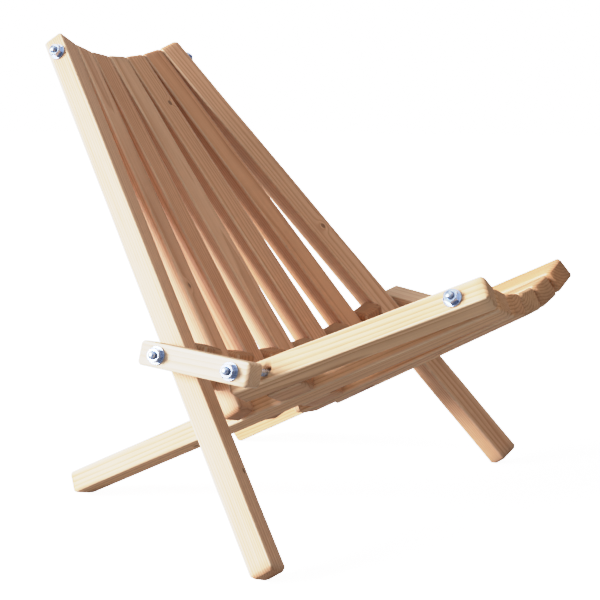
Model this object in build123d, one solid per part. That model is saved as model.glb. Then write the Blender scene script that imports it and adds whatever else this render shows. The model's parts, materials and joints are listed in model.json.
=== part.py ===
from build123d import *
import math
import os

# Folding stick chair: two fans of wooden sticks strung on four bent threaded rods.
# Frame: millimetres, +Z up, the sitter faces -Y, origin on the floor under the middle.
# Each fan is part of a cone. The sticks are its generators, and a rod through them is
# a circle of the cone, so every hole runs square through its stick.

# ---- driving dimensions ----
STICK_WIDTH = 38.5
STICK_DEPTH = 31.5
EDGE_RADIUS = 2.0
END_CHAMFER = 4.0

BACK_LEAN = 37.2  # degrees from the vertical
BACK_ROLL = 6.4  # degrees of roll from one back slat to the next
BACK_HOLES = 533.5  # from the back pivot rod to the top rod
BACK_TOP = 31.5  # from the top rod to the top end
BACK_TAIL = 72.0  # from the back pivot rod to the end of a short back slat
BACK_PITCH_TOP = 43.2
BACK_PITCH_PIVOT = 85.4
FRONT_LEG = 305.2  # from the back pivot rod to the end of a front leg

SEAT_RISE = 28.05  # degrees above the horizontal, towards the front
SEAT_ROLL = 9.45  # degrees of roll from one seat slat to the next
SEAT_HOLES = 257.8  # from the seat pivot rod to the front rod
SEAT_FRONT = 44.0  # from the front rod to the front end
SEAT_TAIL = 58.0  # from the seat pivot rod to the end of a short seat slat
SEAT_PITCH_FRONT = 49.05
SEAT_PITCH_PIVOT = 80.9
REAR_LEG = 404.5  # from the seat pivot rod to the end of a rear leg

SEAT_PIVOT = Vector(0, -92.9, 174.5)  # middle of the seat pivot rod
PIVOT_DISTANCE = 113.0  # from there to the middle of the back pivot rod
PIVOT_ANGLE = 8.1  # degrees above the horizontal, towards the back

BLOCK_LENGTH = 56.0
BACK_BLOCK_WIDTH = 42.4
SEAT_BLOCK_WIDTH = 35.9
BACK_BLOCK_TILT = 40.0  # degrees that a back block leans back from its neighbours
SEAT_BLOCK_TILT = 0.0

LINK_END = 26.0  # from a pivot to the end of a link
LINK_ROLL = 14.0  # degrees that the top of a link leans inwards
LINK_X_BACK = 293.0  # from the middle of the chair to the link's back pivot
LINK_X_SEAT = 275.0  # from the middle of the chair to the link's seat pivot

ROD_RADIUS = 5.0
HOLE_RADIUS = 6.2
JOURNAL_CLEARANCE = 0.05
BEND_LENGTH = 26.0  # stretch over which a pivot rod turns parallel to X
BEND_POCKET_RADIUS = 12.5  # of the tapered mouth in a link that clears the bend
WASHER_RADIUS = 12.0
WASHER_BORE = 5.4
WASHER_THICKNESS = 2.0
NUT_ACROSS_FLATS = 17.0
NUT_HEIGHT = 8.0
ROD_PROUD = 4.0
WASHER_STANDOFF = 4.3  # keeps a pivot washer clear of its link's sloping face
BEYOND = 2000.0  # larger than the chair, for cuts that go right through

BACK_OUTER = 3  # index of the outermost back slat; the middle one is 0
SEAT_OUTER = 2.5
REAR_LEG_INDEX = 1.5

X_AXIS = Vector(1, 0, 0)
Y_AXIS = Vector(0, 1, 0)
Z_AXIS = Vector(0, 0, 1)


def towards(forward, up):
    return Z_AXIS * up - Y_AXIS * forward


def slope(degrees):
    """Unit vector in the side plane: 0 degrees points forwards, 90 degrees up."""
    angle = math.radians(degrees)
    return towards(math.cos(angle), math.sin(angle))


class Fan:
    """Sticks spread over part of a cone that is hollow towards the sitter."""

    def __init__(self, pivot, along, normal, holes, narrow_pitch, wide_pitch, roll):
        self.reach = holes * wide_pitch / (wide_pitch - narrow_pitch)
        spread = wide_pitch / self.reach
        roll = math.radians(roll)
        half_angle = math.atan2(spread, roll)
        self.step = math.hypot(spread, roll)
        self.sin = math.sin(half_angle)
        self.cos = math.cos(half_angle)
        self.apex = pivot + along * self.reach
        self.axis = normal * self.sin - along * self.cos
        self.middle = normal * -self.cos - along * self.sin

    def radial(self, index):
        turn = index * self.step
        return self.middle * math.cos(turn) + X_AXIS * math.sin(turn)

    def across(self, index):
        """Direction of the holes, towards +X."""
        turn = index * self.step
        return X_AXIS * math.cos(turn) - self.middle * math.sin(turn)

    def along(self, index):
        """Direction of a stick from its pivot towards the narrow end of the fan."""
        return self.axis * -self.cos - self.radial(index) * self.sin

    def normal(self, index):
        """Square to a stick's broad face, towards the sitter."""
        return self.axis * self.sin - self.radial(index) * self.cos

    def point(self, index, distance=0):
        """Point on a stick's centreline, a distance from its pivot hole."""
        return self.apex - self.along(index) * (self.reach - distance)


BACK = Fan(
    pivot=SEAT_PIVOT + slope(180 - PIVOT_ANGLE) * PIVOT_DISTANCE,
    along=slope(90 + BACK_LEAN),
    normal=slope(BACK_LEAN),
    holes=BACK_HOLES,
    narrow_pitch=BACK_PITCH_TOP,
    wide_pitch=BACK_PITCH_PIVOT,
    roll=BACK_ROLL,
)
SEAT = Fan(
    pivot=SEAT_PIVOT,
    along=slope(SEAT_RISE),
    normal=slope(90 + SEAT_RISE),
    holes=SEAT_HOLES,
    narrow_pitch=SEAT_PITCH_FRONT,
    wide_pitch=SEAT_PITCH_PIVOT,
    roll=SEAT_ROLL,
)


def hinge_line(fan, outer):
    """Height and depth of a pivot rod's ends once they have turned parallel to X."""
    across = fan.across(-outer)
    control = fan.point(-outer) - across * (STICK_WIDTH / 2 + BEND_LENGTH / 2 / across.X)
    return Vector(0, control.Y, control.Z)


BACK_HINGE = hinge_line(BACK, BACK_OUTER)
SEAT_HINGE = hinge_line(SEAT, SEAT_OUTER)


# ---- placing helpers ----
def placed(shape, origin, across, along):
    """Move a shape built along Z, with its width along X, into the chair."""
    return Plane(origin=origin, x_dir=across, z_dir=along).location * shape


def along_x(shape, centre):
    return Pos(centre) * Rot(0, 90, 0) * shape


def opposite(point):
    return Vector(-point.X, point.Y, point.Z)


def other_side(shape):
    return mirror(shape, about=Plane.YZ)


def both_sides(shape):
    return Compound([shape, other_side(shape)])


# ---- wooden parts ----
def stick(low, high, holes, width=STICK_WIDTH):
    """A stick along Z with chamfered ends, rounded long edges and cross holes."""
    middle = Pos(0, 0, (low + high) / 2)
    square = Box(width, STICK_DEPTH, high - low)
    tapered = chamfer(square.faces().filter_by(Axis.Z).edges(), END_CHAMFER)
    rounded = extrude(RectangleRounded(width, STICK_DEPTH, EDGE_RADIUS), (high - low) / 2, both=True)
    blank = middle * (tapered & rounded)
    for height in holes:
        blank -= along_x(Cylinder(HOLE_RADIUS, 2 * width), (0, 0, height))
    return blank


def in_fan(shape, fan, index):
    return placed(shape, fan.point(index), fan.across(index), fan.along(index))


def above_floor(shape):
    """Cut a leg's foot flat on the floor."""
    floor = Box(BEYOND, BEYOND, BEYOND, align=(Align.CENTER, Align.CENTER, Align.MAX))
    return shape - floor


def back_slat(index):
    blank = stick(-BACK_TAIL, BACK_HOLES + BACK_TOP, [0, BACK_HOLES])
    return in_fan(blank, BACK, index)


def front_leg():
    """The outermost back slat, which runs on to the floor."""
    blank = stick(-FRONT_LEG, BACK_HOLES + BACK_TOP, [0, BACK_HOLES])
    return above_floor(in_fan(blank, BACK, -BACK_OUTER))


def seat_slat(index):
    blank = stick(-SEAT_TAIL, SEAT_HOLES + SEAT_FRONT, [0, SEAT_HOLES])
    return in_fan(blank, SEAT, index)


def rear_leg():
    """The second seat slat, which runs on to the floor."""
    blank = stick(-REAR_LEG, SEAT_HOLES + SEAT_FRONT, [0, SEAT_HOLES])
    return above_floor(in_fan(blank, SEAT, -REAR_LEG_INDEX))


def spacer_block(fan, index, width, tilt):
    """A short stick on a pivot rod, between two slats."""
    blank = stick(-BLOCK_LENGTH / 2, BLOCK_LENGTH / 2, [0], width)
    return in_fan(Rot(tilt, 0, 0) * blank, fan, index)


def link_frame():
    """The pivots of the link at -X, its direction and its sideways direction."""
    back = BACK_HINGE - X_AXIS * LINK_X_BACK
    seat = SEAT_HINGE - X_AXIS * LINK_X_SEAT
    along = (seat - back).normalized()
    roll = math.radians(LINK_ROLL)
    sideways = X_AXIS * math.cos(roll) - Z_AXIS * math.sin(roll)
    across = (sideways - along * sideways.dot(along)).normalized()
    return back, seat, along, across


def side_link():
    """The link at -X, from the back pivot to the seat pivot."""
    back, seat, along, across = link_frame()
    link = placed(stick(-LINK_END, (seat - back).length + LINK_END, []), back, across, along)
    for fan, outer, hinge in ((BACK, BACK_OUTER, BACK_HINGE), (SEAT, SEAT_OUTER, SEAT_HINGE)):
        link -= along_x(Cylinder(ROD_RADIUS + JOURNAL_CLEARANCE, BEYOND), hinge)
        link -= bend_mouth(hinge, bend_end(fan, outer))
    return link


def bend_end(fan, outer):
    """X at which the pivot rod has turned parallel to X."""
    face = fan.point(-outer) - fan.across(-outer) * (STICK_WIDTH / 2)
    return face.X - BEND_LENGTH


def bend_mouth(hinge, end):
    """Tapered hole in a link's inner side, round about the hinge line."""
    taper = Cone(ROD_RADIUS + JOURNAL_CLEARANCE, BEND_POCKET_RADIUS, BEND_LENGTH)
    straight = Cylinder(BEND_POCKET_RADIUS, BEND_LENGTH)
    mouth = along_x(taper, hinge + X_AXIS * (end + BEND_LENGTH / 2))
    return mouth + along_x(straight, hinge + X_AXIS * (end + 1.5 * BEND_LENGTH))


# ---- rods ----
def rod_along(edges):
    path = Wire(edges)
    return sweep(Plane(origin=path @ 0, z_dir=path % 0) * Circle(ROD_RADIUS), path=path)


def straight_ended_rod(fan, outer, distance):
    """A rod on a circle of the fan, with straight ends square to the outer slats."""
    left = fan.point(-outer, distance)
    reach = STICK_WIDTH / 2 + WASHER_THICKNESS + NUT_HEIGHT + ROD_PROUD
    tip = left - fan.across(-outer) * reach
    return rod_along([
        Line(tip, left),
        ThreePointArc(left, fan.point(0, distance), opposite(left)),
        Line(opposite(left), opposite(tip)),
    ])


def pivot_rod(fan, outer, hinge, half_length):
    """A rod on a circle of the fan whose ends turn parallel to X."""
    slat = fan.point(-outer)
    face = slat - fan.across(-outer) * (STICK_WIDTH / 2)
    bend = hinge + X_AXIS * (face.X - BEND_LENGTH)
    corner = hinge + X_AXIS * (face.X - BEND_LENGTH / 2)
    tip = hinge - X_AXIS * half_length
    return rod_along([
        Line(tip, bend),
        Bezier(bend, corner, face),
        Line(face, slat),
        ThreePointArc(slat, fan.point(0), opposite(slat)),
        Line(opposite(slat), opposite(face)),
        Bezier(opposite(face), opposite(corner), opposite(bend)),
        Line(opposite(bend), opposite(tip)),
    ])


# ---- nuts and washers ----
def washer():
    """A washer along Z that stands on the origin."""
    disc = Cylinder(WASHER_RADIUS, WASHER_THICKNESS) - Cylinder(WASHER_BORE, WASHER_THICKNESS)
    return Pos(0, 0, WASHER_THICKNESS / 2) * disc


def nut():
    """A hexagon nut along Z that stands on a washer on the origin."""
    radius = NUT_ACROSS_FLATS / math.sqrt(3)
    prism = extrude(RegularPolygon(radius, 6), NUT_HEIGHT)
    prism -= Pos(0, 0, NUT_HEIGHT / 2) * Cylinder(ROD_RADIUS, NUT_HEIGHT)
    return Pos(0, 0, WASHER_THICKNESS) * prism


def on_outer_slat(shape, fan, outer, distance):
    """Stand a shape on the outer side of both outermost slats."""
    outwards = fan.across(-outer) * -1
    face = fan.point(-outer, distance) + outwards * (STICK_WIDTH / 2)
    return both_sides(placed(shape, face, fan.normal(-outer), outwards))


def link_side(link_x):
    """Distance from the middle of the chair to a link's outer side on a hinge line."""
    across = link_frame()[3]
    return link_x + STICK_WIDTH / 2 / across.X


def on_journal(shape, hinge, link_x):
    """Stand a shape on a pivot rod's ends, just clear of the links."""
    seat = hinge - X_AXIS * (link_side(link_x) + WASHER_STANDOFF)
    return both_sides(placed(shape, seat, Y_AXIS, X_AXIS * -1))


def journal_end(link_x):
    return link_side(link_x) + WASHER_STANDOFF + WASHER_THICKNESS + NUT_HEIGHT + ROD_PROUD


def all_parts():
    parts = {}
    leg = front_leg()
    parts["right_front_leg"] = leg
    parts["left_front_leg"] = other_side(leg)
    for number in range(2, 7):
        parts[f"back_slat_{number}"] = back_slat(number - 4)
    leg = rear_leg()
    parts["right_rear_leg"] = leg
    parts["left_rear_leg"] = other_side(leg)
    for number in (1, 3, 4, 6):
        parts[f"seat_slat_{number}"] = seat_slat(number - 3.5)
    link = side_link()
    parts["right_side_link"] = link
    parts["left_side_link"] = other_side(link)
    for number in range(1, 7):
        index = number - 3.5
        parts[f"back_spacer_{number}"] = spacer_block(BACK, index, BACK_BLOCK_WIDTH, BACK_BLOCK_TILT)
    for number in range(1, 6):
        index = number - 3
        parts[f"seat_spacer_{number}"] = spacer_block(SEAT, index, SEAT_BLOCK_WIDTH, SEAT_BLOCK_TILT)
    parts["top_rod"] = straight_ended_rod(BACK, BACK_OUTER, BACK_HOLES)
    parts["front_rod"] = straight_ended_rod(SEAT, SEAT_OUTER, SEAT_HOLES)
    parts["back_pivot_rod"] = pivot_rod(BACK, BACK_OUTER, BACK_HINGE, journal_end(LINK_X_BACK))
    parts["seat_pivot_rod"] = pivot_rod(SEAT, SEAT_OUTER, SEAT_HINGE, journal_end(LINK_X_SEAT))
    for name, shape in (("washers", washer()), ("nuts", nut())):
        parts[f"top_rod_{name}"] = on_outer_slat(shape, BACK, BACK_OUTER, BACK_HOLES)
        parts[f"front_rod_{name}"] = on_outer_slat(shape, SEAT, SEAT_OUTER, SEAT_HOLES)
        parts[f"back_pivot_{name}"] = on_journal(shape, BACK_HINGE, LINK_X_BACK)
        parts[f"seat_pivot_{name}"] = on_journal(shape, SEAT_HINGE, LINK_X_SEAT)
    return parts


os.makedirs("parts", exist_ok=True)
for name, shape in all_parts().items():
    shape.label = name
    export_step(shape, os.path.join("parts", name + ".step"))
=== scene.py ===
import json
import math

import bmesh
import bpy
from mathutils import Matrix, Vector, noise

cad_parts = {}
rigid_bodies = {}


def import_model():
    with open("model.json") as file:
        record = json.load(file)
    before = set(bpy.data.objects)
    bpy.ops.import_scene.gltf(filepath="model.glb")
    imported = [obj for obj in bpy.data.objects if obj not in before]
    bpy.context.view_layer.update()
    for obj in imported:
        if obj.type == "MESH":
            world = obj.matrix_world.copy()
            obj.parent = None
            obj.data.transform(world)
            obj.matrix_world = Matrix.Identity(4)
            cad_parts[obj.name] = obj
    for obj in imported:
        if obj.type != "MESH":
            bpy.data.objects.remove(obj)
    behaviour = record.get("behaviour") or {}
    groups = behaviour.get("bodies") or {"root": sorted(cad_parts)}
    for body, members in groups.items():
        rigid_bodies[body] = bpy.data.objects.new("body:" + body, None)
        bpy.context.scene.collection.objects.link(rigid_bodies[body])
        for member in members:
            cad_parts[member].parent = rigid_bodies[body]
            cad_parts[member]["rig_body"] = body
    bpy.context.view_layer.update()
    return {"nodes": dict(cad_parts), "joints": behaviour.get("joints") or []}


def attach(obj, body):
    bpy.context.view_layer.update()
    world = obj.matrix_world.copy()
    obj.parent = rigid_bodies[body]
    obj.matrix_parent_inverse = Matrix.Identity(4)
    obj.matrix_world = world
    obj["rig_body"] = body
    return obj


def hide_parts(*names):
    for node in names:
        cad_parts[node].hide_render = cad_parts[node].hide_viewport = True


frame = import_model()

MM = 0.001
Z_AXIS = Vector((0, 0, 1))
NODES = frame["nodes"]
BACK_SLATS = ["right_front_leg"] + [f"back_slat_{n}" for n in range(2, 7)] + ["left_front_leg"]
SEAT_SLATS = ["seat_slat_1", "right_rear_leg", "seat_slat_3", "seat_slat_4", "left_rear_leg", "seat_slat_6"]
BACK_SPACERS = [f"back_spacer_{n}" for n in range(1, 7)]
SEAT_SPACERS = [f"seat_spacer_{n}" for n in range(1, 6)]
SIDE_LINKS = ["right_side_link", "left_side_link"]
LEGS = ["right_front_leg", "left_front_leg", "right_rear_leg", "left_rear_leg"]

ROD_RADIUS = 5 * MM
THREAD_PITCH = 1.5 * MM
THREAD_DEPTH = 0.55 * MM
HOLE_RADIUS = 6 * MM
WASHER_RADIUS = 12 * MM
WASHER_HEIGHT = 2 * MM
NUT_ACROSS_FLATS = 17 * MM
NUT_HEIGHT = 8 * MM
ROD_PROUD = 5 * MM
STUB_DEPTH = 8 * MM  # of a rod's threaded end below its washer
LEAD_IN = 1.6 * MM  # over which a thread fades out at a rod's end
STUB_SPACING = 0.45 * MM  # between the rings of a short thread
ROD_SPACING = 0.6 * MM  # and of a long one
WASHER_EDGE = 0.35 * MM
WASHER_SLACK = 0.4 * MM
NUT_COUNTERSINK = 0.8 * MM

# How a cross hole shows in a CAD stick's mesh: points on its rims, close together.
SAME_PLANE = 0.1 * MM
RIM_REACH = 7 * MM
HOLE_SPACING = 20 * MM
LEAST_HOLE = 9 * MM


# ---- reading the frame ----
class Stick:
    """Centre, axes and half sizes of a CAD stick: x across, y through, z along."""

    def __init__(self, node):
        self.node = node
        mesh = NODES[node].data
        broad, side = largest_normals(mesh)
        self.across = side if side.x > 0 else -side
        upwards = self.across.cross(broad).z > 0
        self.through = broad if upwards else -broad
        self.along = self.across.cross(self.through)
        self.turn = Matrix((self.across, self.through, self.along)).transposed()
        points = [self.turn.inverted() @ v.co for v in mesh.vertices]
        low = Vector([min(p[i] for p in points) for i in range(3)])
        high = Vector([max(p[i] for p in points) for i in range(3)])
        self.half = (high - low) / 2
        middle = (high + low) / 2
        self.centre = self.turn @ middle
        self.matrix = Matrix.Translation(self.centre) @ self.turn.to_4x4()
        self.holes = hole_places([p - middle for p in points], self.half)

    def at(self, x, y, z):
        """A point of the stick's own frame in the row frame."""
        return self.matrix @ Vector((x, y, z))

    def crossing(self, y, z):
        """Where a line parallel to X at this y and z meets the stick's middle plane."""
        to_line = Vector((0, y, z)) - self.centre
        x = -(self.across.yz.dot(to_line.yz)) / self.across.x
        return Vector((self.centre.x + x, y, z))


def largest_normals(mesh):
    """Normals of the two pairs of flat faces with the most area, largest first."""
    found = []
    for face in mesh.polygons:
        for entry in found:
            if abs(entry[1].dot(face.normal)) > 0.9999:
                entry[0] += face.area
                break
        else:
            found.append([face.area, face.normal.copy()])
    found.sort(key=lambda entry: -entry[0])
    return found[0][1], found[1][1]


def hole_places(points, half):
    """Heights along a stick of the cross holes, from the rims on its sides."""
    on_side = (p for p in points if abs(abs(p.x) - half.x) < SAME_PLANE)
    rims = sorted(p.z for p in on_side if abs(p.y) < RIM_REACH)
    places = []
    start = 0
    for i in range(1, len(rims) + 1):
        if i == len(rims) or rims[i] - rims[i - 1] > HOLE_SPACING:
            if rims[i - 1] - rims[start] > LEAST_HOLE:
                places.append((rims[start] + rims[i - 1]) / 2)
            start = i
    return places


STICKS = {name: Stick(name) for name in BACK_SLATS + SEAT_SLATS + BACK_SPACERS + SEAT_SPACERS + SIDE_LINKS}


def new_object(name, mesh, matrix=None):
    piece = bpy.data.objects.new(name, mesh)
    bpy.context.scene.collection.objects.link(piece)
    if matrix is not None:
        piece.matrix_world = matrix
    return piece


def mesh_from(name, bm, smooth_angle=35):
    bmesh.ops.recalc_face_normals(bm, faces=bm.faces)
    mesh = bpy.data.meshes.new(name)
    for edge in bm.edges:
        edge.smooth = len(edge.link_faces) == 2 and edge.calc_face_angle() < math.radians(smooth_angle)
    for face in bm.faces:
        face.smooth = True
    bm.to_mesh(mesh)
    bm.free()
    return mesh


# ---- wooden sticks ----
END_CHAMFER = 4 * MM
CORNER_RADIUS = 2.6 * MM
RING_SPACING = 9 * MM
SOFT_EDGE = 1.2 * MM
PLANING = 0.35 * MM
CORNER_STEPS = 4


def section(half_x, half_y, radius):
    """Points round a rounded rectangle, with a few on each flat."""
    points = []
    for turn, (sx, sy) in enumerate(((1, 1), (-1, 1), (-1, -1), (1, -1))):
        centre = Vector((sx * (half_x - radius), sy * (half_y - radius)))
        for step in range(CORNER_STEPS + 1):
            angle = math.radians(90 * (turn + step / CORNER_STEPS))
            points.append(centre + radius * Vector((math.cos(angle), math.sin(angle))))
        flat = 3 if turn % 2 == 0 else 2
        nx, ny = ((-1, 1), (-1, -1), (1, -1), (1, 1))[turn]
        target = Vector((nx * (half_x - radius), ny * (half_y - radius)))
        offset = Vector(((0, radius), (-radius, 0), (0, -radius), (radius, 0))[turn])
        for step in range(1, flat + 1):
            points.append((centre + offset).lerp(target + offset, step / (flat + 1)))
    return points


def hand_planed(point, seed):
    """A slow wave in a sawn and planed surface, as a shift in x and y."""
    place = Vector((point.x * 25, point.y * 25, point.z * 9 + seed * 7.3))
    return Vector((noise.noise(place), noise.noise(place + Vector((31, 17, 5))), 0)) * PLANING


def stick_rings(half, seed):
    """Heights and insets of the rings from one end of a stick to the other."""
    soft = SOFT_EDGE
    low_cut = END_CHAMFER * (1 + 0.25 * noise.noise(Vector((seed, 0.5, 0))))
    high_cut = END_CHAMFER * (1 + 0.25 * noise.noise(Vector((seed, 9.5, 0))))
    rings = [(-half.z, low_cut * 0.82), (-half.z + soft * 0.4, low_cut * 0.72 - soft * 0.2)]
    rings += [(-half.z + low_cut - soft * 0.5, soft * 0.45), (-half.z + low_cut + soft, 0)]
    bottom = -half.z + low_cut + soft
    top = half.z - high_cut - soft
    count = max(2, round((top - bottom) / RING_SPACING))
    rings += [(bottom + (top - bottom) * i / count, 0) for i in range(1, count)]
    rings += [(top, 0), (half.z - high_cut + soft * 0.5, soft * 0.45)]
    rings += [(half.z - soft * 0.4, high_cut * 0.72 - soft * 0.2), (half.z, high_cut * 0.82)]
    return rings


def stick_mesh(stick, seed, cross_holes):
    """A planed stick in its own frame, with chamfered ends and drilled holes."""
    bm = bmesh.new()
    half = stick.half
    loops = []
    for height, inset in stick_rings(half, seed):
        wear = 1 + 0.25 * noise.noise(Vector((seed * 3.1, 4.2, height * 20)))
        outline = section(half.x - inset, half.y - inset, min(CORNER_RADIUS * wear, half.y - inset))
        loop = []
        for flat in outline:
            point = Vector((flat.x, flat.y, height))
            loop.append(bm.verts.new(point + hand_planed(point, seed)))
        loops.append(loop)
    for lower, upper in zip(loops, loops[1:]):
        for i in range(len(lower)):
            j = (i + 1) % len(lower)
            bm.faces.new((lower[i], lower[j], upper[j], upper[i]))
    bm.faces.new(list(reversed(loops[0])))
    bm.faces.new(loops[-1])
    if stick.node in LEGS:
        cut_at_floor(bm, stick)
    mesh = mesh_from(stick.node + "_wood", bm)
    return drilled(mesh, stick, cross_holes)


def cut_at_floor(bm, stick):
    """Cut a leg's foot flat where the CAD foot is cut, on the floor."""
    inverse = stick.matrix.inverted()
    point = inverse @ Vector((0, 0, 0))
    normal = inverse.to_3x3() @ Z_AXIS
    geometry = bm.verts[:] + bm.edges[:] + bm.faces[:]
    cut = bmesh.ops.bisect_plane(bm, geom=geometry, plane_co=point, plane_no=normal, clear_inner=True)
    edges = [e for e in cut["geom_cut"] if isinstance(e, bmesh.types.BMEdge)]
    bmesh.ops.contextual_create(bm, geom=edges)


def drilled(mesh, stick, cross_holes):
    """The mesh with a hole straight across it at each place."""
    if not cross_holes:
        return mesh
    blank = new_object("blank", mesh)
    drills = bmesh.new()
    for y, z in cross_holes:
        place = Matrix.Translation((0, y, z)) @ Matrix.Rotation(math.radians(90), 4, "Y")
        bmesh.ops.create_cone(
            drills, cap_ends=True, segments=24, radius1=HOLE_RADIUS, radius2=HOLE_RADIUS,
            depth=4 * stick.half.x, matrix=place,
        )
    drill = new_object("drill", mesh_from("drill", drills))
    cut = blank.modifiers.new("holes", "BOOLEAN")
    cut.operation = "DIFFERENCE"
    cut.solver = "EXACT"
    cut.object = drill
    bpy.context.view_layer.update()
    result = bpy.data.meshes.new_from_object(blank.evaluated_get(bpy.context.evaluated_depsgraph_get()))
    bpy.data.objects.remove(blank)
    bpy.data.objects.remove(drill)
    return result


def wooden_stick(stick, seed, look, tint, knots):
    """A wooden piece that stands for a CAD stick and rides on its body."""
    if stick.node in SIDE_LINKS:
        cross_holes = link_holes(stick)
    else:
        cross_holes = [(0, z) for z in stick.holes]
    mesh = stick_mesh(stick, seed, cross_holes)
    piece = new_object(stick.node + "_wood", mesh, stick.matrix)
    mesh.materials.clear()
    mesh.materials.append(look)
    piece["seed"] = seed
    piece["half"] = list(stick.half)
    piece["tint"] = tint
    for n in range(2):
        piece[f"knot{n + 1}"] = list(knots[n]) if n < len(knots) else [0.0, 9.0, 0.001]
    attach(piece, NODES[stick.node]["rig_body"])
    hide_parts(stick.node)
    return piece


def link_holes(stick):
    holes = []
    for joint in frame["joints"]:
        _, y, z = joint["pos_m"]
        local = stick.matrix.inverted() @ stick.crossing(y, z)
        holes.append((local.y, local.z))
    return holes


# ---- rods, nuts and washers ----
def smooth_path(points, spacing):
    """Evenly spaced points on a smooth curve through the given ones."""
    dense = []
    for i in range(len(points) - 1):
        before = points[max(i - 1, 0)]
        after = points[min(i + 2, len(points) - 1)]
        a, b = points[i], points[i + 1]
        for step in range(16):
            t = step / 16
            dense.append(0.5 * (
                2 * a + (b - before) * t + (2 * before - 5 * a + 4 * b - after) * t * t
                + (3 * a - before - 3 * b + after) * t ** 3
            ))
    dense.append(points[-1])
    lengths = [0.0]
    for a, b in zip(dense, dense[1:]):
        lengths.append(lengths[-1] + (b - a).length)
    count = max(2, round(lengths[-1] / spacing))
    path = []
    at = 0
    for i in range(count + 1):
        wanted = lengths[-1] * i / count
        while at < len(dense) - 2 and lengths[at + 1] < wanted:
            at += 1
        share = (wanted - lengths[at]) / max(lengths[at + 1] - lengths[at], 1e-9)
        path.append(dense[at].lerp(dense[at + 1], min(max(share, 0), 1)))
    return path


def threaded_mesh(name, points, domed, spacing=STUB_SPACING, sides=16):
    """A tube with a helical thread along a path; domed ends taper to a lead-in."""
    path = smooth_path(points, spacing)
    bm = bmesh.new()
    tangent = (path[1] - path[0]).normalized()
    normal = tangent.orthogonal().normalized()
    rings = []
    run = 0.0
    total = spacing * (len(path) - 1)
    for i, point in enumerate(path):
        ahead = path[min(i + 1, len(path) - 1)] - path[max(i - 1, 0)]
        tangent = ahead.normalized()
        normal = (normal - tangent * normal.dot(tangent)).normalized()
        side = tangent.cross(normal)
        ends = [d for d, cap in ((run, domed[0]), (total - run, domed[1])) if cap]
        lead_in = min([1.0] + [max(d, 0) / LEAD_IN for d in ends])
        crest = ROD_RADIUS * (0.72 + 0.28 * math.sqrt(max(lead_in, 0)))
        ring = []
        for k in range(sides):
            angle = 2 * math.pi * k / sides
            phase = (run / THREAD_PITCH + k / sides) % 1
            groove = THREAD_DEPTH * (1 - abs(2 * phase - 1)) * lead_in
            offset = normal * math.cos(angle) + side * math.sin(angle)
            ring.append(bm.verts.new(point + offset * (crest - groove)))
        rings.append(ring)
        run += spacing
    for a, b in zip(rings, rings[1:]):
        for k in range(sides):
            m = (k + 1) % sides
            bm.faces.new((a[k], a[m], b[m], b[k]))
    bm.faces.new(list(reversed(rings[0])))
    bm.faces.new(rings[-1])
    return mesh_from(name, bm, 60)


def turned_mesh(name, profile, segments, radius_at=None):
    """A ring turned about Z from a closed profile of (radius, height) points."""
    bm = bmesh.new()
    loops = []
    for k in range(segments):
        angle = 2 * math.pi * k / segments
        loop = []
        for radius, height in profile:
            if radius_at:
                radius, height = radius_at(angle, radius, height)
            loop.append(bm.verts.new((radius * math.cos(angle), radius * math.sin(angle), height)))
        loops.append(loop)
    for k in range(segments):
        a, b = loops[k], loops[(k + 1) % segments]
        for i in range(len(profile)):
            j = (i + 1) % len(profile)
            bm.faces.new((a[i], b[i], b[j], a[j]))
    return mesh_from(name, bm, 28)


def washer_mesh():
    edge = WASHER_EDGE
    bore = ROD_RADIUS + WASHER_SLACK
    outer = WASHER_RADIUS
    top = WASHER_HEIGHT
    profile = [
        (bore, edge), (bore + edge, 0), (outer - edge, 0), (outer, edge),
        (outer, top - edge), (outer - edge, top), (bore + edge, top), (bore, top - edge),
    ]
    return turned_mesh("washer", profile, 64)


def hexagon(angle):
    """Distance from a nut's axis to its side in this direction."""
    sector = math.radians(60)
    return NUT_ACROSS_FLATS / 2 / math.cos((angle + sector / 2) % sector - sector / 2)


def nut_mesh():
    """A hexagon nut with both faces chamfered to a cone and a countersunk bore."""
    bore = ROD_RADIUS - THREAD_DEPTH * 0.5
    flat = NUT_ACROSS_FLATS / 2
    slope = math.tan(math.radians(30))

    def shaped(angle, radius, height):
        if radius < flat * 0.98:
            return radius, height
        side = hexagon(angle)
        drop = (side - flat * 0.97) * slope
        return side, max(min(height, NUT_HEIGHT - drop), drop)

    face = flat * 0.97
    sink = NUT_COUNTERSINK
    profile = [
        (bore, sink), (bore + sink, 0), (face, 0), (flat, 0), (flat, NUT_HEIGHT * 0.5),
        (flat, NUT_HEIGHT), (face, NUT_HEIGHT), (bore + sink, NUT_HEIGHT), (bore, NUT_HEIGHT - sink),
    ]
    return turned_mesh("nut", profile, 72, shaped)


def looking_along(direction, spin):
    """Rotation that turns Z to a direction, then spins about it."""
    return direction.to_track_quat("Z", "Y").to_matrix().to_4x4() @ Matrix.Rotation(spin, 4, "Z")


def fixing(name, seat, outwards, body, spin, metal):
    """A washer, a nut and the threaded end of a rod on a flat seat."""
    turn = Matrix.Translation(seat) @ looking_along(outwards, spin)
    washer = new_object(name + "_washer", WASHER.copy(), turn)
    nut = new_object(name + "_nut", NUT.copy(), turn @ Matrix.Translation((0, 0, WASHER_HEIGHT)))
    reach = WASHER_HEIGHT + NUT_HEIGHT + ROD_PROUD
    ends = [seat - outwards * STUB_DEPTH, seat + outwards * reach]
    stub = new_object(name + "_thread", threaded_mesh(name, ends, (False, True)))
    for piece in (washer, nut, stub):
        piece.data.materials.append(metal)
        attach(piece, body)
    return washer, nut, stub


def hole_centres(names, top):
    """Centres of the holes on one rod, in order across the chair."""
    centres = []
    for name in names:
        stick = STICKS[name]
        heights = stick.holes
        centres.append(stick.at(0, 0, heights[-1] if top else heights[0]))
    return sorted(centres, key=lambda p: p.x)


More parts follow.
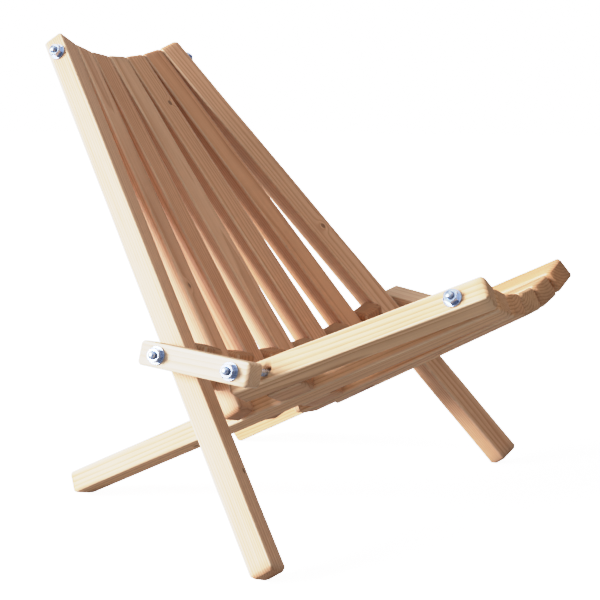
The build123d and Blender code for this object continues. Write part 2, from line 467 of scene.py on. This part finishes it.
def rod(node, points, body, metal):
    piece = new_object(node + "_thread", threaded_mesh(node, points, (False, False), ROD_SPACING, 12))
    piece.data.materials.append(metal)
    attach(piece, body)
    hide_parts(node)


def through_rod(node, names, body, metal, spins):
    """A rod that ends in a nut on the outer side of each outermost slat."""
    points = hole_centres(names, True)
    ends = []
    for side, name, spin in ((-1, names[0], spins[0]), (1, names[-1], spins[1])):
        stick = STICKS[name]
        seat = stick.at(side * stick.half.x, 0, stick.holes[-1])
        outwards = stick.across * side
        tag = "right" if side < 0 else "left"
        washer, nut, _ = fixing(f"{node}_{tag}", seat, outwards, body, spin, metal)
        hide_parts(node + "_washers")
        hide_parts(node + "_nuts")
        ends.append(seat)
    rod(node, [ends[0]] + points + [ends[1]], body, metal)


def pivot_rod(node, names, spacers, joint, body, metal, spins):
    """A rod whose ends turn in the side links, with a nut on each link."""
    points = hole_centres(names + spacers, False)
    _, y, z = joint["pos_m"]
    ends = []
    for side, name, spin in ((-1, SIDE_LINKS[0], spins[0]), (1, SIDE_LINKS[1], spins[1])):
        link = STICKS[name]
        local = link.matrix.inverted() @ link.crossing(y, z)
        seat = link.at(side * link.half.x, local.y, local.z)
        tag = "right" if side < 0 else "left"
        base = node.removesuffix("_rod")
        washer, nut, _ = fixing(f"{base}_{tag}", seat, link.across * side, "links", spin, metal)
        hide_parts(base + "_washers")
        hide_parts(base + "_nuts")
        ends.append(link.at(0, local.y, local.z))
    rod(node, [ends[0]] + points + [ends[1]], body, metal)


# ---- materials ----
class Shader:
    """A small helper that builds a node material one call at a time."""

    def __init__(self, name):
        self.material = bpy.data.materials.new(name)
        self.material.use_nodes = True
        self.tree = self.material.node_tree
        self.surface = self.tree.nodes["Principled BSDF"]

    def add(self, kind, inputs=None, output=0, **settings):
        node = self.tree.nodes.new("ShaderNode" + kind)
        for key, value in settings.items():
            setattr(node, key, value)
        for key, value in (inputs or {}).items():
            self.put(node.inputs[key], value)
        return node.outputs[output]

    def put(self, socket, value):
        if isinstance(value, bpy.types.NodeSocket):
            self.tree.links.new(value, socket)
        else:
            socket.default_value = value

    def math(self, operation, a, b=0.0, c=0.0, clamp=False):
        return self.add("Math", {0: a, 1: b, 2: c}, operation=operation, use_clamp=clamp)

    def vector(self, operation, a, b=(0, 0, 0), scale=None):
        inputs = {0: a, 1: b}
        if scale is not None:
            inputs["Scale"] = scale
        return self.add("VectorMath", inputs, "Vector", operation=operation)

    def noise(self, place, scale, detail=2.0, roughness=0.5):
        inputs = {"Vector": place, "Scale": scale, "Detail": detail, "Roughness": roughness}
        return self.add("TexNoise", inputs, "Fac")

    def stretched(self, place, x, y, z):
        return self.vector("MULTIPLY", place, (x, y, z))

    def between(self, value, low, high, to_low=0.0, to_high=1.0):
        """Value eased from one range to another, held at its ends."""
        inputs = {"Value": value, "From Min": low, "From Max": high, "To Min": to_low, "To Max": to_high}
        return self.add("MapRange", inputs, interpolation_type="SMOOTHSTEP")

    def mix(self, share, a, b, blend="MIX"):
        node = self.tree.nodes.new("ShaderNodeMix")
        node.data_type = "RGBA"
        node.blend_type = blend
        for index, value in ((0, share), (6, a), (7, b)):
            self.put(node.inputs[index], value)
        return node.outputs[2]

    def ramp(self, value, stops):
        """Greys run together between the stops."""
        node = self.tree.nodes.new("ShaderNodeValToRGB")
        self.put(node.inputs[0], value)
        while len(node.color_ramp.elements) < len(stops):
            node.color_ramp.elements.new(0.5)
        for element, (place, grey) in zip(node.color_ramp.elements, stops):
            element.position = place
            element.color = (grey, grey, grey, 1)
        return node.outputs[0]

    def own(self, name, output="Fac"):
        """A number or vector stored on the object that wears the material."""
        return self.add("Attribute", output=output, attribute_type="OBJECT", attribute_name=name)

    def bump(self, height, distance):
        return self.add("Bump", {"Height": height, "Distance": distance, "Strength": 1.0}, "Normal")

    def finish(self, **inputs):
        for key, value in inputs.items():
            self.put(self.surface.inputs[key.replace("_", " ")], value)
        return self.material


def colour(red, green, blue):
    """A linear colour from 0 to 255 screen values."""
    def linear(value):
        value /= 255
        return value / 12.92 if value <= 0.04045 else ((value + 0.055) / 1.055) ** 2.4
    return (linear(red), linear(green), linear(blue), 1)


def pine(name, early, late, ring_width):
    """Sawn pine: growth rings about a pith line beside the stick, fibres and knots."""
    s = Shader(name)
    place = s.add("TexCoord", output="Object")
    seed = s.own("seed")
    shift = s.vector("SCALE", (1.7, 3.1, 5.3), scale=seed)
    moved = s.vector("ADD", place, shift)
    x, y, z = (s.add("SeparateXYZ", {0: place}, axis) for axis in "XYZ")

    # Knots push the grain aside.
    knot_mask = 0.0
    knot_push = 0.0
    for number in (1, 2):
        knot = s.own(f"knot{number}", "Vector")
        knot_x, knot_z, knot_size = (s.add("SeparateXYZ", {0: knot}, axis) for axis in "XYZ")
        dx = s.math("SUBTRACT", x, knot_x)
        dz = s.math("MULTIPLY", s.math("SUBTRACT", z, knot_z), 0.7)
        away = s.math("SQRT", s.math("ADD", s.math("MULTIPLY", dx, dx), s.math("MULTIPLY", dz, dz)))
        ratio = s.math("DIVIDE", away, knot_size)
        swell = s.math("EXPONENT", s.math("MULTIPLY", s.math("MULTIPLY", ratio, ratio), -0.22))
        knot_push = s.math("ADD", s.math("MULTIPLY", swell, s.math("MULTIPLY", knot_size, 1.6)), knot_push)
        knot_mask = s.math("MAXIMUM", s.between(ratio, 1.1, 0.75), knot_mask)

    # Growth rings are distances from a pith line that leans a little along the stick.
    warp = s.math("SUBTRACT", s.noise(s.stretched(moved, 14, 14, 1.6), 1.0, 3.0), 0.5)
    lean = s.math("SINE", s.math("MULTIPLY", seed, 12.9))
    pith_x = s.math("MULTIPLY", s.math("SINE", s.math("MULTIPLY", seed, 7.7)), 0.028)
    pith_y = s.math("MULTIPLY_ADD", s.math("SINE", s.math("MULTIPLY", seed, 4.1)), 0.012, 0.034)
    from_x = s.math("SUBTRACT", s.math("MULTIPLY_ADD", z, s.math("MULTIPLY", lean, 0.018), x), pith_x)
    from_y = s.math("SUBTRACT", y, pith_y)
    squares = s.math("ADD", s.math("MULTIPLY", from_x, from_x), s.math("MULTIPLY", from_y, from_y))
    radius = s.math("ADD", s.math("SQRT", squares), s.math("MULTIPLY", warp, 0.011))
    radius = s.math("ADD", radius, knot_push)
    wander = s.math("SUBTRACT", s.noise(s.stretched(moved, 60, 60, 3), 1.0, 2.0), 0.5)
    phase = s.math("FRACT", s.math("MULTIPLY_ADD", wander, 0.5, s.math("DIVIDE", radius, ring_width)))
    rings = s.ramp(phase, [(0.0, 0.0), (0.45, 0.12), (0.82, 0.75), (0.92, 1.0), (1.0, 0.0)])
    rings = s.math("MULTIPLY_ADD", rings, 0.62, 0.15)

    # Fibres, streaks and slow colour drift.
    fibre = s.noise(s.stretched(moved, 900, 900, 14), 1.0, 3.0, 0.6)
    streak = s.noise(s.stretched(moved, 160, 160, 4), 1.0, 2.0, 0.55)
    drift = s.noise(s.stretched(moved, 9, 9, 2.2), 1.0, 3.0, 0.5)
    end_face = s.add("SeparateXYZ", {0: s.add("TexCoord", output="Normal")}, "Z")
    end_grain = s.between(s.math("ABSOLUTE", end_face), 0.45, 0.8)
    depth = s.math("MULTIPLY_ADD", s.math("SUBTRACT", fibre, 0.5), 0.55, rings)
    depth = s.math("MULTIPLY_ADD", s.math("SUBTRACT", streak, 0.5), 0.7, depth)
    depth = s.math("MULTIPLY_ADD", s.math("SUBTRACT", drift, 0.5), 0.9, depth)
    depth = s.math("MULTIPLY_ADD", end_grain, 0.18, depth, True)
    wood = s.mix(depth, early, late)

    # Tint of the piece, pale arrises (partly sanding wear, partly a painted highlight of the rounded edges),
    # dirty ends, knots and end grain.
    tinted = s.mix(1.0, wood, (0.86, 0.66, 0.54, 1), "MULTIPLY")
    wood = s.mix(s.own("tint"), wood, tinted)
    half_x, half_y, half_z = (s.add("SeparateXYZ", {0: s.own("half", "Vector")}, axis) for axis in "XYZ")
    edge_x = s.math("SUBTRACT", half_x, s.math("ABSOLUTE", x))
    edge_y = s.math("SUBTRACT", half_y, s.math("ABSOLUTE", y))
    edge_z = s.math("SUBTRACT", half_z, s.math("ABSOLUTE", z))
    near_two = s.math("ADD", edge_x, edge_y)
    # Paler along the four long edges: partly sanding wear on the arrises, partly a painted highlight where
    # the rounded edges catch the light.
    arris_wear_and_highlight = s.between(s.math("MULTIPLY_ADD", s.math("SUBTRACT", streak, 0.5), 0.004, near_two), 0.0042, 0.0008)
    wood = s.mix(s.math("MULTIPLY", arris_wear_and_highlight, 0.32), wood, (0.95, 0.80, 0.58, 1))
    scuff = s.math("MULTIPLY", s.between(edge_z, 0.02, 0.0), s.between(drift, 0.35, 0.65))
    wood = s.mix(s.math("MULTIPLY", scuff, 0.35), wood, (0.24, 0.17, 0.11, 1))
    mottle = s.noise(s.stretched(moved, 300, 300, 300), 1.0)
    knot_colour = s.mix(mottle, (0.10, 0.045, 0.02, 1), (0.27, 0.12, 0.05, 1))
    wood = s.mix(s.math("MULTIPLY", knot_mask, 0.9), wood, knot_colour)
    darker = s.mix(1.0, wood, (0.80, 0.62, 0.48, 1), "MULTIPLY")
    wood = s.mix(s.math("MULTIPLY", end_grain, 0.35), wood, darker)

    rough = s.math("MULTIPLY_ADD", fibre, 0.22, 0.46)
    rough = s.math("MULTIPLY_ADD", end_grain, 0.2, rough)
    relief = s.math("MULTIPLY_ADD", fibre, 0.6, s.math("MULTIPLY", rings, 0.5))
    normal = s.bump(relief, 0.12 * MM)
    return s.finish(Base_Color=wood, Roughness=rough, Normal=normal, Specular_IOR_Level=0.3)


def zinc(name):
    """Bright zinc plate with a faint blue cast, spangle and scratches."""
    s = Shader(name)
    place = s.add("TexCoord", output="Object")
    patches = s.noise(s.stretched(place, 420, 420, 420), 1.0, 3.0, 0.6)
    scratches = s.noise(s.stretched(place, 2500, 250, 2500), 1.0, 2.0, 0.6)
    tone = s.mix(patches, (0.24, 0.31, 0.48, 1), (0.56, 0.64, 0.78, 1))
    rough = s.math("MULTIPLY_ADD", scratches, 0.16, s.math("MULTIPLY_ADD", patches, 0.12, 0.12))
    normal = s.bump(s.math("ADD", scratches, patches), 0.02 * MM)
    return s.finish(Base_Color=tone, Metallic=1.0, Roughness=rough, Normal=normal)


def floor_paint():
    """Pale paint that glows a little to the camera, so that shadows on it stay faint."""
    s = Shader("pale_floor")
    place = s.add("TexCoord", output="Object")
    cloud = s.noise(place, 0.8, 3.0)
    tone = s.mix(cloud, (0.86, 0.86, 0.86, 1), (0.90, 0.90, 0.895, 1))
    tone = s.mix(s.add("LightPath", output="Is Camera Ray"), (0.36, 0.355, 0.35, 1), tone)
    glow = s.math("MULTIPLY", s.add("LightPath", output="Is Camera Ray"), WHITE_LEVEL * FLOOR_GLOW)
    rough = s.between(cloud, 0.2, 0.8, 0.6, 0.75)
    return s.finish(Base_Color=tone, Roughness=rough, Emission_Color=(1, 1, 1, 1), Emission_Strength=glow)


# ---- the chair ----
WASHER = washer_mesh()
NUT = nut_mesh()
BACK_PINE = pine("back_pine", colour(228, 184, 146), colour(184, 128, 90), 3.2 * MM)
SEAT_PINE = pine("seat_pine", colour(230, 190, 148), colour(176, 126, 84), 4.4 * MM)
LINK_PINE = pine("link_pine", colour(236, 208, 176), colour(208, 168, 130), 4.2 * MM)
SPACER_PINE = pine("spacer_pine", colour(214, 168, 128), colour(166, 114, 78), 3.2 * MM)
ZINC = zinc("zinc_plate")
KNOTS = {
    "left_front_leg": [(0.004, 0.04, 0.0035)],
    "back_slat_2": [(-0.006, -0.12, 0.003)],
    "back_slat_5": [(0.008, 0.22, 0.0035)],
    "right_rear_leg": [(0.004, -0.14, 0.003)],
    "right_front_leg": [(0.010, -0.30, 0.003)],
    "seat_slat_3": [(0.004, 0.05, 0.0025)],
}
TINTS = [0.15, 0.45, 0.7, 0.3, 0.6, 0.85, 0.35]

for group, look, slot in (
    (BACK_SLATS, BACK_PINE, "back_wood"),
    (SEAT_SLATS, SEAT_PINE, "seat_wood"),
    (BACK_SPACERS, SPACER_PINE, "spacer_wood"),
    (SEAT_SPACERS, SPACER_PINE, "spacer_wood"),
    (SIDE_LINKS, LINK_PINE, "link_wood"),
):
    for number, name in enumerate(group):
        seed = 0.37 + 0.61 * number + 1.9 * len(group)
        piece = wooden_stick(STICKS[name], seed, look, TINTS[number % len(TINTS)], KNOTS.get(name, ()))

JOINTS = {joint["name"]: joint for joint in frame["joints"]}
through_rod("top_rod", BACK_SLATS, "back", ZINC, (0.4, 0.9))
through_rod("front_rod", SEAT_SLATS, "seat", ZINC, (0.2, 0.7))
pivot_rod("back_pivot_rod", BACK_SLATS, BACK_SPACERS, JOINTS["back_fold"], "back", ZINC, (0.3, 0.8))
pivot_rod("seat_pivot_rod", SEAT_SLATS, SEAT_SPACERS, JOINTS["link_swing"], "seat", ZINC, (0.6, 0.1))


# ---- floor, light and camera ----
CAMERA_PLACE = Vector((-1.4416, -1.0235, 0.5553))
CAMERA_HEADING = math.radians(-54.76)
CAMERA_PITCH = math.radians(-8.57)
LENS = 73.43
SENSOR = 36.0
WHITE_LEVEL = 5.0  # light that the film curve shows as full white
FILM_CURVE = ((0.3, 0.3), (0.6, 0.57), (1.0, 0.78), (1.6, 0.86), (2.6, 0.90))  # light, shown
FLOOR_GLOW = 0.86  # of the white level
FLOOR_SIZE = 60.0
FLOOR_DROP = 0.5 * MM  # keeps the floor just clear of the feet
AMBIENT = 0.27
REFLECTED_BANDS = ((0.04, (0.05, 0.07, 0.16, 1)), (0.30, (0.10, 0.13, 0.26, 1)), (0.42, (1, 1, 1, 1)))


def floor():
    bpy.ops.mesh.primitive_plane_add(size=FLOOR_SIZE, location=(0, 0, -FLOOR_DROP))
    plane = bpy.context.object
    plane.name = "floor"
    plane.data.materials.append(floor_paint())


def soft_sun(name, direction, strength, spread, tint):
    """Even light from one side of the studio, with soft shadows."""
    light = bpy.data.lights.new(name, "SUN")
    light.energy = strength
    light.angle = math.radians(spread)
    light.color = tint
    lamp = bpy.data.objects.new(name, light)
    bpy.context.scene.collection.objects.link(lamp)
    lamp.rotation_euler = Vector(direction).to_track_quat("Z", "Y").to_euler()


def studio_world():
    """White to the camera, softer as a light, and banded in the metal's reflections."""
    world = bpy.data.worlds.new("studio")
    bpy.context.scene.world = world
    world.use_nodes = True
    tree = world.node_tree
    back = tree.nodes["Background"]
    path = tree.nodes.new("ShaderNodeLightPath")
    place = tree.nodes.new("ShaderNodeTexCoord")
    split = tree.nodes.new("ShaderNodeSeparateXYZ")
    bands = tree.nodes.new("ShaderNodeValToRGB")
    tree.links.new(place.outputs["Generated"], split.inputs[0])
    tree.links.new(split.outputs["Z"], bands.inputs[0])
    stops = bands.color_ramp
    stops.elements[0].position = 0.0
    stops.elements[0].color = (0.75, 0.75, 0.75, 1)
    stops.elements[1].position = 1.0
    stops.elements[1].color = (1.0, 1.0, 1.0, 1)
    for spot, tone in REFLECTED_BANDS:
        stop = stops.elements.new(spot)
        stop.color = tone
    glossy = tree.nodes.new("ShaderNodeMix")
    glossy.data_type = "RGBA"
    tree.links.new(path.outputs["Is Glossy Ray"], glossy.inputs[0])
    glossy.inputs[6].default_value = (AMBIENT, AMBIENT, AMBIENT * 1.02, 1)
    tree.links.new(bands.outputs[0], glossy.inputs[7])
    seen = tree.nodes.new("ShaderNodeMix")
    seen.data_type = "RGBA"
    tree.links.new(path.outputs["Is Camera Ray"], seen.inputs[0])
    tree.links.new(glossy.outputs[2], seen.inputs[6])
    seen.inputs[7].default_value = (WHITE_LEVEL, WHITE_LEVEL, WHITE_LEVEL, 1)
    tree.links.new(seen.outputs[2], back.inputs[0])


def film_curve():
    """Roll bright wood off below the white of the background, as film does."""
    view = bpy.context.scene.view_settings
    view.view_transform = "Standard"
    view.use_curve_mapping = True
    mapping = view.curve_mapping
    mapping.white_level = (WHITE_LEVEL, WHITE_LEVEL, WHITE_LEVEL)
    points = mapping.curves[3].points
    for light, shown in FILM_CURVE:
        point = points.new(light / WHITE_LEVEL, shown)
        point.handle_type = "AUTO_CLAMPED"
    mapping.update()


floor()
studio_world()
soft_sun("key", (-0.80, 0.52, 0.30), 8.4, 24, (0.92, 0.96, 1.04))
soft_sun("top", (-0.25, -0.15, 1.0), 0.85, 60, (1.0, 1.0, 1.0))

camera_data = bpy.data.cameras.new("camera")
camera_data.lens = LENS
camera_data.sensor_width = SENSOR
camera = bpy.data.objects.new("camera", camera_data)
bpy.context.scene.collection.objects.link(camera)
camera.location = CAMERA_PLACE
camera.rotation_euler = (math.radians(90) + CAMERA_PITCH, 0, CAMERA_HEADING)
bpy.context.scene.camera = camera
film_curve()
